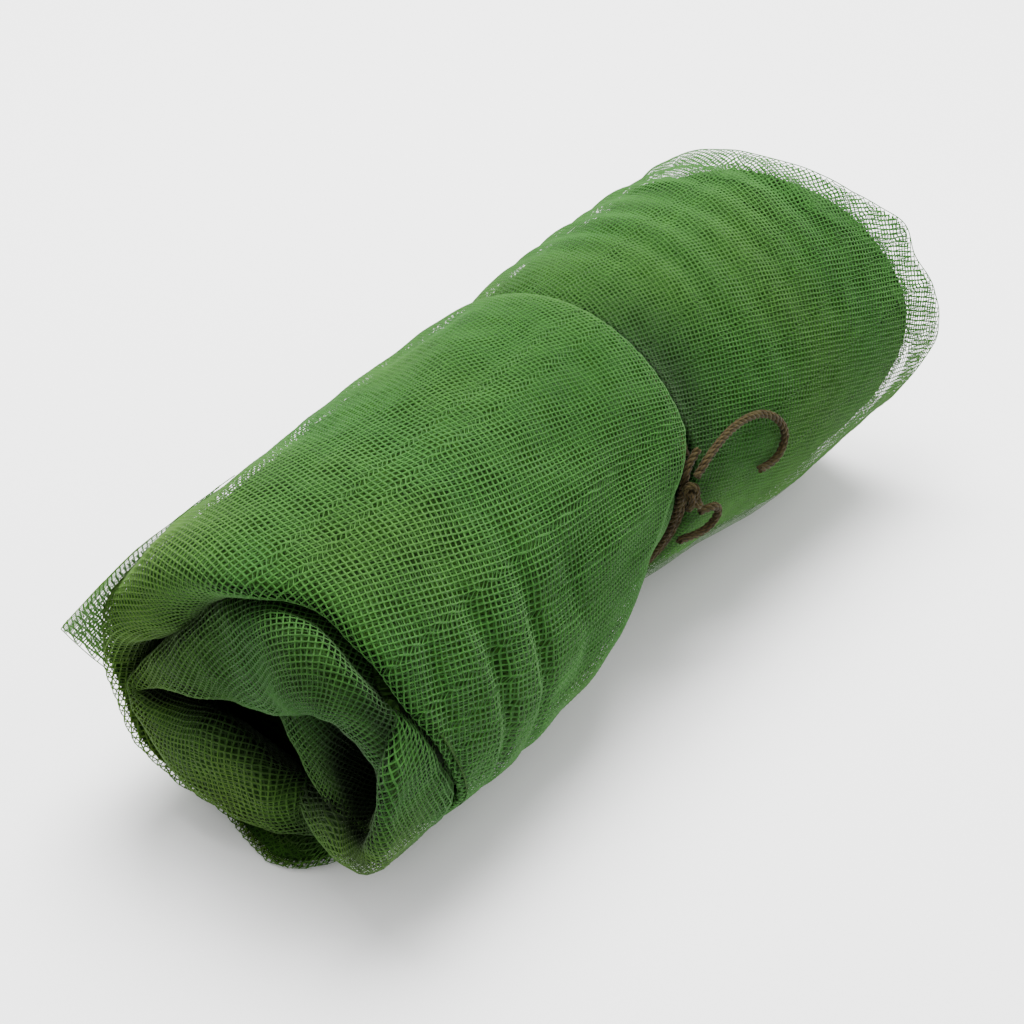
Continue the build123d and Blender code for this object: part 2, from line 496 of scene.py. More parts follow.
def yarn_material(name, dark, light, worn, translucent):
    """Soft yarn: colour that drifts over the net, a fine twist in each thread, a little light through it."""
    material = bpy.data.materials.new(name)
    material.use_nodes = True
    tree = material.node_tree
    tree.nodes.clear()
    add = node_maker(tree)
    place = add("ShaderNodeTexCoord").outputs["Object"]
    drift = add("ShaderNodeTexNoise", {"Vector": place, "Scale": 17.0, "Detail": 4.0, "Roughness": 0.6})
    grain = add("ShaderNodeTexNoise", {"Vector": place, "Scale": 420.0, "Detail": 2.0, "Roughness": 0.7})
    patch = add("ShaderNodeTexNoise", {"Vector": place, "Scale": 6.5, "Detail": 2.0})
    spread = add("ShaderNodeMapRange", {
        "Value": drift.outputs["Fac"], "From Min": 0.32, "From Max": 0.68, "To Min": 0.0, "To Max": 1.0})
    colour = add("ShaderNodeMix", {
        "Factor": spread.outputs[0], "A": (*dark, 1), "B": (*light, 1)}, data_type="RGBA")
    age = add("ShaderNodeMapRange", {
        "Value": patch.outputs["Fac"], "From Min": 0.48, "From Max": 0.66, "To Min": 0.0, "To Max": 0.55})
    colour = add("ShaderNodeMix", {
        "Factor": age.outputs[0], "A": colour.outputs["Result"], "B": (*worn, 1)}, data_type="RGBA")
    # The weather has turned the net olive at its near end: on the low folds, and at the back on top.
    part = add("ShaderNodeSeparateXYZ", {0: place}).outputs
    faded = None
    for near, axis, ends in (((-0.17, -0.2), 2, (0.085, 0.05)), ((-0.09, -0.19), 1, (0.0, 0.06))):
        near = add("ShaderNodeMapRange", {"Value": part[0], "From Min": near[0], "From Max": near[1]})
        there = add("ShaderNodeMapRange", {"Value": part[axis], "From Min": ends[0], "From Max": ends[1]})
        both = add("ShaderNodeMath", {0: near.outputs[0], 1: there.outputs[0]}, operation="MULTIPLY")
        faded = both if faded is None else add(
            "ShaderNodeMath", {0: faded.outputs[0], 1: both.outputs[0]}, operation="MAXIMUM")
    faded = add("ShaderNodeMath", {0: faded.outputs[0], 1: 0.8}, operation="MULTIPLY").outputs[0]
    olive = add("ShaderNodeVectorMath", {
        0: colour.outputs["Result"], 1: (2.1, 1.12, 0.7)}, operation="MULTIPLY")
    colour = add("ShaderNodeMix", {
        "Factor": faded, "A": colour.outputs["Result"], "B": olive.outputs[0]}, data_type="RGBA")
    shade = add("ShaderNodeMapRange", {
        "Value": grain.outputs["Fac"], "From Min": 0.3, "From Max": 0.7, "To Min": 0.72, "To Max": 1.22})
    colour = add("ShaderNodeVectorMath", {
        0: colour.outputs["Result"], "Scale": shade.outputs[0]}, operation="SCALE").outputs[0]
    # Painted shade: yarn deep inside a fold, by the sheet's deep value, is darkened to as little as 0.14.
    deep = add("ShaderNodeAttribute", attribute_name="deep").outputs["Fac"]
    shade = add("ShaderNodeMapRange", {
        "Value": deep, "From Min": 0.0, "From Max": 1.0, "To Min": 1.0, "To Max": 0.14})
    colour = add("ShaderNodeVectorMath", {0: colour, "Scale": shade.outputs[0]}, operation="SCALE").outputs[0]
    net_map = add("ShaderNodeUVMap", uv_map="net map").outputs[0]
    twist = add("ShaderNodeTexWave", {
        "Vector": net_map, "Scale": TWIST_SCALE, "Distortion": 2.0, "Detail": 1.0}, wave_type="BANDS",
        bands_direction="DIAGONAL")
    lint = add("ShaderNodeTexNoise", {"Vector": place, "Scale": 3000.0, "Detail": 2.0})
    height = add("ShaderNodeMath", {0: twist.outputs["Fac"], 1: lint.outputs["Fac"]}, operation="ADD")
    bump = add("ShaderNodeBump", {"Strength": 0.5, "Distance": 0.00012, "Height": height.outputs[0]})
    rough = add("ShaderNodeMapRange", {
        "Value": grain.outputs["Fac"], "From Min": 0.3, "From Max": 0.7, "To Min": 0.55, "To Max": 0.78})
    body = add("ShaderNodeBsdfPrincipled", {
        "Base Color": colour, "Roughness": rough.outputs[0], "Normal": bump.outputs[0],
        "Sheen Weight": 0.12, "Sheen Roughness": 0.45, "Sheen Tint": (0.75, 0.95, 0.65, 1.0),
        "Specular IOR Level": 0.18})
    through_light = add("ShaderNodeBsdfTranslucent", {"Color": colour, "Normal": bump.outputs[0]})
    mixed = add("ShaderNodeMixShader", {0: translucent, 1: body.outputs[0], 2: through_light.outputs[0]})
    add("ShaderNodeOutputMaterial", {"Surface": mixed.outputs[0]})
    return material


NET = yarn_material(
    "green_net_yarn", (0.022, 0.103, 0.011), (0.034, 0.136, 0.018), (0.048, 0.128, 0.014), 0.20)
# The layer below is the same yarn in darker colours, as painted shade.
SHADED_UNDER_NET = yarn_material(
    "green_net_yarn_below_painted_shade", (0.012, 0.062, 0.005), (0.018, 0.082, 0.008), (0.028, 0.076, 0.006), 0.15)
# The corner is the same yarn in lighter colours, as painted light coming through it, and is more translucent.
CORNER_NET_PAINTED_LIGHT = yarn_material(
    "green_net_yarn_corner_painted_light", (0.024, 0.125, 0.026), (0.034, 0.156, 0.038), (0.040, 0.146, 0.030), 0.30)
print("yarn of the net, of the layer below and of the corner")

# %% [markdown]
# Under two woven layers, the turns of the roll can't be told apart. They are one dark body, whose
# darkness is partly the net's green and partly painted shade of the layers above, and which carries
# the threads of deeper layers as faint crossed lines, so that the holes don't show bare paint.

# %% Deep layers
def deep_layers_material():
    """The dark body of the roll: many layers of the same net, seen as faint crossed threads in shade."""
    material = bpy.data.materials.new("green_net_deep_layers")
    material.use_nodes = True
    tree = material.node_tree
    tree.nodes.clear()
    add = node_maker(tree)
    flat = add("ShaderNodeUVMap", uv_map="flat").outputs[0]
    place = add("ShaderNodeTexCoord").outputs["Object"]
    warp = add("ShaderNodeTexNoise", {"Vector": place, "Scale": 30.0, "Detail": 2.0})
    shift = add("ShaderNodeVectorMath", {0: warp.outputs["Color"], "Scale": 0.006}, operation="SCALE")
    moved = add("ShaderNodeVectorMath", {0: flat, 1: shift.outputs[0]}, operation="ADD")
    threads = None
    for degrees in (13.0, 103.0, 41.0, 131.0):
        turned = add("ShaderNodeVectorRotate", {"Vector": moved.outputs[0], "Angle": math.radians(degrees)},
                     rotation_type="Z_AXIS")
        wave = add("ShaderNodeTexWave", {
            "Vector": turned.outputs[0], "Scale": 2 * math.pi / (20 * MESH_PITCH),
            "Distortion": 0.0}, wave_type="BANDS", bands_direction="X", wave_profile="SIN")
        sharp = add("ShaderNodeMapRange", {
            "Value": wave.outputs["Fac"], "From Min": 0.72, "From Max": 0.95, "To Min": 0.0, "To Max": 1.0})
        threads = sharp.outputs[0] if threads is None else add(
            "ShaderNodeMath", {0: threads, 1: sharp.outputs[0]}, operation="MAXIMUM").outputs[0]
    # The body's dark green is partly the net's colour and partly painted shade of the layers above it.
    colour = add("ShaderNodeMix", {
        "Factor": threads, "A": (0.006, 0.022, 0.002, 1), "B": (0.018, 0.056, 0.006, 1)}, data_type="RGBA")
    mottle = add("ShaderNodeTexNoise", {"Vector": place, "Scale": 60.0, "Detail": 3.0})
    shade = add("ShaderNodeMapRange", {
        "Value": mottle.outputs["Fac"], "From Min": 0.3, "From Max": 0.7, "To Min": 0.7, "To Max": 1.3})
    # Painted shade: the body is darkened further where the sheet's deep value is high.
    deep = add("ShaderNodeAttribute", attribute_name="deep").outputs["Fac"]
    shade = add("ShaderNodeMath", {0: shade.outputs[0], 1: add("ShaderNodeMapRange", {
        "Value": deep, "From Min": 0.0, "From Max": 1.0, "To Min": 1.0, "To Max": 0.15}).outputs[0]},
        operation="MULTIPLY")
    colour = add("ShaderNodeVectorMath", {
        0: colour.outputs["Result"], "Scale": shade.outputs[0]}, operation="SCALE").outputs[0]
    bump = add("ShaderNodeBump", {"Strength": 0.6, "Distance": 0.0006, "Height": threads})
    body = add("ShaderNodeBsdfPrincipled", {
        "Base Color": colour, "Roughness": 0.85, "Normal": bump.outputs[0], "Specular IOR Level": 0.1})
    add("ShaderNodeOutputMaterial", {"Surface": body.outputs[0]})
    return material


BODY = deep_layers_material()
print("deep layers")

# %% [markdown]
# The cord is brown, of three strands of coarse hairy fibre. Its colour and relief follow the fibres
# through an attribute that the twisting tree leaves on each strand, and it is dusty in patches.

# %% Fibre of the cord
def cord_material():
    """Brown twisted fibre, darker in the grooves between fibres, as painted shade, and dusty in patches."""
    material = bpy.data.materials.new("brown_cord_fibre")
    material.use_nodes = True
    tree = material.node_tree
    tree.nodes.clear()
    add = node_maker(tree)
    place = add("ShaderNodeTexCoord").outputs["Object"]
    fibre_map = add("ShaderNodeAttribute", attribute_name="fibre map").outputs["Vector"]
    fibres = add("ShaderNodeTexWave", {
        "Vector": fibre_map, "Scale": 1.0, "Distortion": 3.5, "Detail": 2.0, "Detail Scale": 1.5},
        wave_type="BANDS", bands_direction="DIAGONAL")
    blot = add("ShaderNodeTexNoise", {"Vector": place, "Scale": 160.0, "Detail": 4.0, "Roughness": 0.65})
    fine = add("ShaderNodeTexNoise", {"Vector": place, "Scale": 1800.0, "Detail": 3.0})
    # Painted shade: the fibre colour is darker where the bump height is low, in the grooves between fibres.
    colour = add("ShaderNodeMix", {
        "Factor": fibres.outputs["Fac"], "A": (0.009, 0.0065, 0.0016, 1), "B": (0.036, 0.024, 0.0065, 1)},
        data_type="RGBA")
    worn = add("ShaderNodeMapRange", {
        "Value": blot.outputs["Fac"], "From Min": 0.42, "From Max": 0.7, "To Min": 0.0, "To Max": 0.7})
    colour = add("ShaderNodeMix", {
        "Factor": worn.outputs[0], "A": colour.outputs["Result"], "B": (0.036, 0.030, 0.0085, 1)},
        data_type="RGBA")
    height = add("ShaderNodeMath", {0: fibres.outputs["Fac"], 1: fine.outputs["Fac"]}, operation="ADD")
    bump = add("ShaderNodeBump", {"Strength": 0.7, "Distance": 0.0003, "Height": height.outputs[0]})
    body = add("ShaderNodeBsdfPrincipled", {
        "Base Color": colour.outputs["Result"], "Roughness": 0.8, "Normal": bump.outputs[0],
        "Sheen Weight": 0.03, "Sheen Roughness": 0.5, "Specular IOR Level": 0.12})
    add("ShaderNodeOutputMaterial", {"Surface": body.outputs[0]})
    return material


CORD = cord_material()
print("fibre of the cord")

# %% [markdown]
# ## The front half of the roll
#
# The outer wrap of the front half is described by its meridian, the line from inside the folded lip,
# over the rim, along the roll and down into the groove of the tie, at every angle round the roll.
# The lip folds deep over the upper left of the end, and the rim over the groove slopes away on the
# side where the knot lies.

# %% Keys of the front half
# angle from the top, lip radius, lip x, foremost x
LIP = np.array([
    (-160, 82, -187, -190), (-139, 82, -192, -196), (-125, 81, -197, -201), (-108, 79, -197, -201),
    (-90, 76, -197, -201), (-71, 58, -198, -204), (-43, 55, -198, -204), (-19, 64, -197, -203),
    (-7, 69, -196, -202), (4, 71, -191, -197), (12, 71, -183, -190), (24, 72, -177, -185),
    (39, 74, -178, -185), (60, 76, -175, -181), (80, 82, -167, -172), (97, 84, -160, -163),
    (112, 83, -152, -155), (130, 82, -150, -153), (148, 81, -160, -163), (160, 80, -184, -188),
    (173, 82, -195, -199), (184, 80, -192, -196),
], float)
# angle from the top, x of the rim over the groove
RIM = np.array([
    (-180, 12), (-140, 20), (-90, 31), (-47, 40), (-10, 43), (20, 43.5), (36, 42), (46, 39), (57, 34),
    (72, 18), (87, -4), (110, -4), (145, 6),
], float)


def round_keys(table, angles):
    """Values of a table of keys at angles, going smoothly round the circle."""
    turn = (np.asarray(angles, float) - table[0, 0]) % 360
    stops = np.append((table[:, 0] - table[0, 0]), 360.0)
    cell = np.clip(np.searchsorted(stops, turn, side="right") - 1, 0, len(table) - 1)
    where = cell + (turn - stops[cell]) / (stops[cell + 1] - stops[cell])
    return through(table[:, 1:], where, closed=True)


def tie_line(angle, radius):
    """Where the leaning plane of the tie meets the roll, along X."""
    return TIE_X + math.tan(TIE_LEAN) * radius * np.cos(np.radians(angle))


print("keys for", len(LIP), "angles of the lip")

# %% [markdown]
# The keys become a grid of points: a curve along every meridian, the next meridian 1.5 degrees on.
# Its flat map is straight at one place along the roll, and gathers towards the tie, where the cord
# draws more net together than the waist has room for. The second layer is tucked back at the lip.

# %% Surface of the front half
DEGREES_APART = 1.5
GATHER = 0.30


def front_meridians(angles, tuck):
    """Key points (x, radius), in metres, of the meridian at each angle, with the lip tucked back."""
    lip_r, lip_x, fore_x = round_keys(LIP, angles).T
    back = tuck * (hump(angles, -118, 38) + 0.8 * hump(angles, 174, 16))
    lip_x, fore_x = lip_x + back, fore_x + back
    rim_x = round_keys(RIM, angles)[:, 0]
    tie = tie_line(angles, WRAP_R) / MM
    rim_x = np.minimum(rim_x, tie - 1.5)
    full = FRONT_R / MM + 0.3
    gap = full - lip_r
    slope = np.clip((tie - rim_x - 4) / 30, 0, 1)
    bore = WRAP_R / MM - 3
    foot = tie - 5.0
    keys = [
        (lip_x + 34, lip_r - 7), (lip_x + 12, lip_r - 5.0), (lip_x + 1.5, lip_r - 0.5),
        (fore_x, lip_r + 0.42 * gap), (fore_x + 3.5, lip_r + 0.80 * gap), (fore_x + 16, full - 0.6),
        (fore_x + 40, full + 0.4), (fore_x / 2 - 5, full), (-50, full - 0.4),
        (rim_x - 34, full - 1.0), (rim_x - 10, full - 1.6 - 1.5 * slope), (rim_x, full - 4.6 - 1.5 * slope),
        (rim_x * 0.6 + foot * 0.4, bore + 5.0), (foot, bore + 1.0), (foot + 1.5, bore - 4),
    ]
    same = np.zeros_like(lip_x)
    return np.array([np.stack([(x + same) * MM, (r + same) * MM], axis=-1) for x, r in keys])


def front_surface(first, last, tuck=0.0):
    """A grid of points and its flat map over the front half between two angles."""
    angles = np.linspace(first, last, int((last - first) / DEGREES_APART) + 1)
    keys = front_meridians(angles, tuck)
    where = np.linspace(0, len(keys) - 1, 210)
    rows = np.stack([through(keys[:, k], where) for k in range(len(angles))], axis=1)
    points, flat, turn = on_the_roll(rows, angles, -100 * MM, FRONT_R)
    # Painted shade: the yarn is darkened inside the lip and down into the groove of the tie.
    deep = 0.7 * (1 - ramp(where, 0.8, 3.0)) + 0.4 * ramp(where, 11.6, 13.5)
    return points, flat, turn, np.broadcast_to(deep[:, None], turn.shape)


def on_the_roll(rows, angles, rest_x, radius):
    """Points, flat map and angles of a grid of meridians, with the flat map straight at one x."""
    turn = np.broadcast_to(angles, rows.shape[:2])
    points = round_the_roll(rows[..., 0], turn, rows[..., 1])
    gather = 1 + GATHER * ramp(rows[..., 0], -0.11, TIE_X - 0.005)
    along = np.cumsum(np.diff(arc_lengths(points, 0), axis=0, prepend=0) * gather, axis=0)
    rest = np.abs(rows[..., 0] - rest_x).argmin(axis=0)[None, :]
    along = along - np.take_along_axis(along, rest, axis=0)
    flat = np.stack([along, np.radians(turn) * radius * gather], axis=-1)
    return points, flat, turn


print("surface of the front half ready")

# %% [markdown]
# Cloth that was rolled by hand has soft folds of several sizes. Here they are heights added to the
# surface: long folds that the tie draws together, sweeps that wind slowly round the roll, broad and
# fine swellings from noise, and a few short pleats beside the mouth.

# %% Folds of the front half
def front_folds(points, turn):
    """How far the front half stands out at each point."""
    x = points[..., 0]
    free = 1 - ramp(x, TIE_X - 0.02, TIE_X)
    helix = turn + x / MM * 0.22
    drawn = ramp(x, -0.09, 0.005)
    long_folds = 1.4 * np.sin(np.radians(helix * 13) + 2.2 * ripple(points, 0.05, 8)) * drawn
    sweeps = 2.3 * ripple(np.stack([helix * 0.0011, x * 0.22, x * 0], axis=-1), 0.02, 14) * (1 - 0.5 * drawn)
    broad = 2.3 * ripple(points * [0.55, 1.0, 1.0], 0.045, 3)
    fine = 1.1 * ripple(points * [0.8, 1.0, 1.0], 0.016, 4)
    beside = hump(turn, 80, 36) * ramp(x, -0.172, -0.150) * (1 - ramp(x, -0.10, -0.05))
    crease = np.sin(np.radians(x / MM * 11 + turn * 0.7 + 40) + 1.7 * ripple(points, 0.045, 21))
    pleats = -3.8 * np.clip(crease, 0, 1) ** 1.5 * beside
    return (long_folds + sweeps + broad + fine + pleats) * free * MM


def bulged(points, turn, folds, least=0.0006):
    """Points moved away from the roll's axis by a height, and kept above the floor."""
    angle = np.radians(turn)
    away = np.stack([np.zeros_like(angle), -np.sin(angle), np.cos(angle)], axis=-1)
    return above_floor(points + away * folds[..., None], least)


def axis_line(points, forward):
    """The point on the roll's axis beside each point, moved along X by a step."""
    middle = np.zeros_like(points)
    middle[..., 0] = points[..., 0] + forward
    middle[..., 2] = AXIS_Z
    return middle


print("folds of the front half ready")

# %% [markdown]
# The front half is woven in two pieces, above and below, so that neither is too heavy. They lap by
# 2 degrees, at the back and low on the knot's side.

# %% Front half
front_pieces = []
for name, first, last, seed in (("front_top", -97, 103, 1), ("front_under", 101, 265, 2)):
    points, flat, turn, deep = front_surface(first, last)
    points = bulged(points, turn, front_folds(points, turn))
    skin = points, flat, outward(points, axis_line(points, 0.03)), deep
    points, flat, turn, deep = front_surface(first, last, tuck=1.5)
    points = bulged(points, turn, front_folds(points, turn))
    inner = points, flat, outward(points, axis_line(points, 0.03)), deep
    front_pieces += layers(name, skin, inner, seed, body_from=33)
print("front half:", sum(len(o.data.polygons) for o in front_pieces), "faces")

# %% [markdown]
# ## The rear half of the roll
#
# The rear half rises from the groove to a shoulder, carries soft ridges that run round it on top,
# and closes over the far rim. The rim is tight on the knot's side and long and tapering behind. The
# outermost layer doesn't close with it: it runs on past the rim as one loose layer with a free edge.

# %% Keys of the rear half
# angle from the top, end of the rim, how round the rim is, how much the roll tapers towards it
FAR_RIM = np.array([
    (-100, 208, 34, 3.0), (-54, 209, 34, 6.0), (-30, 208, 30, 6.0), (-10, 208, 24, 4.5), (17, 213, 20, 2.2),
    (37, 218, 17, 0.8), (56, 221, 14, 0), (75, 223, 11, -0.6), (90, 221, 11, -0.6), (105, 215, 14, 0),
    (130, 209, 20, 0.5), (180, 206, 24, 1.0), (230, 206, 28, 1.5),
], float)
# angle from the top, free edge of the loose layer, how far it stands off the roll there
LOOSE = np.array([
    (-104, 206, 0.5), (-70, 203, 2.0), (-45, 201, 1.6), (-25, 199, 1.2), (-8, 199, 0.8), (12, 205, 1.0),
    (31, 213, 1.6), (41, 221, 1.8), (51, 228, 1.6), (63, 227, 1.2), (78, 231, 3.0), (88, 232, 4.2),
    (98, 231, 4.8), (106, 219, 3.5), (114, 213, 1.5), (132, 211, 0.4), (200, 208, 0.4),
], float)


print("keys for", len(FAR_RIM), "angles of the far rim")

# %% [markdown]
# The same kind of meridians give the rear half. It covers the cord on top, falls away in a shallow
# valley behind the front rim, and either closes over the far rim or runs on as the loose layer.

# %% Surface of the rear half
def shoulder_keys(angles):
    """Key points of the rear half from the groove up to its full radius."""
    tie = tie_line(angles, WRAP_R) / MM
    cover = 1 - ramp(np.abs((np.asarray(angles) + 206) % 360 - 180), 75, 100)
    full = REAR_R / MM + 0.2
    bore = WRAP_R / MM - 3
    foot = tie + 5.2 - 3.0 * cover
    valley = hump(angles, 42, 34)
    return [
        (foot - 1.5, bore - 4 + 3.0 * cover), (foot, bore + 1.0 + 4.5 * cover),
        (foot + 2.0, bore + 5.5 + 0.8 * cover), (foot + 8, full - 2.8 - 3.2 * valley),
        (foot + 22, full - 0.5 - 4.5 * valley), (foot + 45, full - 2.0 * valley),
        (tie * 0.5 + 96, full),
    ]


def rear_surface(first, last, loose=False):
    """A grid of points and its flat map over the rear half, with a closing rim or a loose edge."""
    angles = np.linspace(first, last, int((last - first) / DEGREES_APART) + 1)
    end, round_rim, taper = round_keys(FAR_RIM, angles).T
    keys = shoulder_keys(angles)
    full = REAR_R / MM + 0.2
    low = full - taper
    if loose:
        edge, stand = round_keys(LOOSE, angles).T
        proud = 0.9 * stand
        keys += [
            (edge - 68, full - 0.3 * taper + 0.45 * proud), (edge - 40, low * 0.5 + full * 0.5 + 0.8 * proud),
            (edge - 20, low + 0.9 * proud), (edge - 8, low + proud), (edge, low + 1.1 * proud),
        ]
    else:
        start = end - round_rim
        centre = low - round_rim
        keys += [(start - 34, full - 0.4 * taper), (start - 10, full - 0.85 * taper)]
        for degrees in (12, 38, 64, 90):
            t = math.radians(degrees)
            keys.append((start + round_rim * math.sin(t), centre + round_rim * math.cos(t)))
        keys += [(end - 1, centre - 9), (end - 8, centre - 18)]
    same = np.zeros_like(end)
    keys = np.array([np.stack([(x + same) * MM, (r + same) * MM], axis=-1) for x, r in keys])
    where = np.linspace(0, len(keys) - 1, 180)
    rows = np.stack([through(keys[:, k], where) for k in range(len(angles))], axis=1)
    points, flat, turn = on_the_roll(rows, angles, 110 * MM, REAR_R)
    # Painted shade: the yarn is darkened down in the groove and in the valley behind the front rim.
    shade = 0.5 * (1 - ramp(where, 0.5, 2.4))[:, None] + 0.7 * (1 - ramp(where, 3.0, 5.2))[:, None] * hump(
        turn, 40, 36)
    return points, flat, turn, np.clip(shade, 0, 0.8)


def rear_folds(points, turn, loose=False):
    """How far the rear half stands out: ridges that run round it on top, and soft folds."""
    x = points[..., 0]
    free = ramp(x, TIE_X, TIE_X + 0.03)
    if not loose:
        free = free * (1 - 0.7 * ramp(x, 0.185, 0.205))
    lean = x / MM + 6 * np.sin(np.radians(turn)) + 4 * ripple(points, 0.06, 9)
    ridges = 0.8 * np.sin(lean / 21 * 2 * math.pi) * np.clip(hump(turn, -10, 62) * 1.3, 0, 1)
    broad = 1.5 * ripple(points * [0.7, 1.0, 1.0], 0.05, 11)
    fine = 0.6 * ripple(points, 0.017, 12)
    waves = 2.0 * ripple(points * [0.5, 1.0, 1.0], 0.02, 13) * ramp(x, 0.18, 0.225) if loose else 0.0
    return (ridges * ramp(x, 0.06, 0.1) + broad + fine + waves) * free * MM


print("surface and folds of the rear half ready")

# %% [markdown]
# On top, the outermost layer is the loose one and the body inside it closes over the rim. Past the
# rim only net is left, so a second loose layer and a thin hem along the free edge are added there.

# %% Rear half
LOOSE_FROM_ROW = 140
rear_pieces = []
for name, first, last, seed in (("rear_top", -84, 117, 3), ("rear_under", 115, 277, 4)):
    top = name == "rear_top"
    points, flat, turn, deep = rear_surface(first, last, loose=top)
    points = bulged(points, turn, rear_folds(points, turn, loose=top))
    skin = points, flat, outward(points, axis_line(points, -0.03)), deep
    points, flat, turn, deep = rear_surface(first, last)
    points = bulged(points, turn, rear_folds(points, turn))
    inner = points, flat, outward(points, axis_line(points, -0.03)), deep
    rear_pieces += layers(name, skin, inner, seed, rounded=top)
    if top:
        points, flat, normal, deep = facing(*(part[LOOSE_FROM_ROW:] for part in skin))
        rear_pieces.append(weave("rear_loose_second", points - normal * 1.3 * MM, flat, NET, 29.0, seed=63,
                                 rounded=False, wander=7.0, deep=deep, thread=1.1 * MM))
        rear_pieces.append(hem("rear_loose_hem", skin[0][-1]))
print("rear half:", sum(len(o.data.polygons) for o in rear_pieces), "faces")

# %% [markdown]
# ## The folded band inside the near end
#
# The net was folded lengthways before it was rolled, so the end of the roll shows one folded band,
# wound in a loose spiral. Its fold makes a rounded front edge. The band is puffed where it has room
# and pinched flat where it turns back, which leaves two dark hollows. It is given by its centreline
# across the end, how thick it is there, how far forward it comes and how deep its outer side runs.

# %% Keys of the near band
# y, z, half thickness, foremost x, depth of the outer side, rounding of the inner side, all in mm, and
# how far the inner side falls away behind the fold, from 0 to 1
NEAR_BAND = np.array([
    (0, 101, 20, -163, 26, 14, 0), (-5, 88, 23, -174, 30, 16, 0), (-12, 75, 21, -181, 34, 16, 0),
    (-22, 61.5, 16.5, -186, 36, 12, 0), (-34, 51, 11.5, -189, 38, 9, 0), (-47.5, 45, 7, -191, 38, 6, 0),
    (-59.5, 46.5, 4.6, -192, 38, 6, 0), (-65.5, 54, 4.2, -194, 38, 6, 0), (-68, 66, 4.6, -190, 38, 5, 0),
    (-68, 80, 7, -191, 40, 6, 0), (-66, 95, 9.5, -193, 42, 7, 0), (-62, 109, 13, -197, 44, 9, 0),
    (-54, 122, 17, -204, 46, 16, 0), (-40, 129, 21.5, -206, 48, 18, 0), (-20, 127.5, 28, -206, 48, 20, 0),
    (4, 114.5, 30, -201, 46, 18, 0), (25, 103, 25, -201, 44, 14, 0), (45, 88, 15.5, -201, 42, 10, 0),
    (62, 75, 8.5, -200, 40, 7, 0), (70, 66.5, 5, -200, 40, 6, 0.3), (66.5, 58, 9.5, -200, 40, 9, 0.6),
    (58, 50, 16.5, -200, 42, 12, 0.9), (45, 43.5, 23, -202, 44, 14, 1), (26, 38, 27, -203, 46, 15, 1),
    (7, 32, 25, -201, 46, 15, 1), (-8, 26.5, 20, -195, 44, 15, 1), (-19, 24.5, 16, -187, 42, 14, 1),
    (-29, 30, 18.5, -194, 44, 16, 0.8), (-43, 36, 17.5, -199, 46, 16, 0.6),
    (-57, 38.5, 12.5, -202, 56, 12, 0.3),
    (-68.5, 45.5, 8, -206, 72, 10, 0), (-76.5, 60, 6, -208, 78, 8, 0), (-79.5, 76, 5.4, -208, 76, 7, 0),
    (-79.5, 91, 5, -205, 70, 7, 0), (-76.5, 104, 4.6, -197, 56, 7, 0), (-70.5, 116, 4.4, -185, 46, 7, 0),
    (-61, 127, 4.2, -178, 38, 7, 0), (-49, 137, 4, -170, 30, 7, 0),
], float)
print("keys for", len(NEAR_BAND), "places along the band")

# %% [markdown]
# The band is a tube cut open at the back. Its section has an outer side, a rounded fold at the front
# and an inner side, and it is carried along the spiral. The same function says how deep inside the
# roll each point is, and the yarn is darkened there as painted shade, because the yarn in the hollows
# gets hardly any light.

# %% Surface of a folded band
BAND_STEP = 1.6 * MM
BAND_ROWS = 66
OUTER_SHARE, INNER_SHARE = 0.3, 0.75


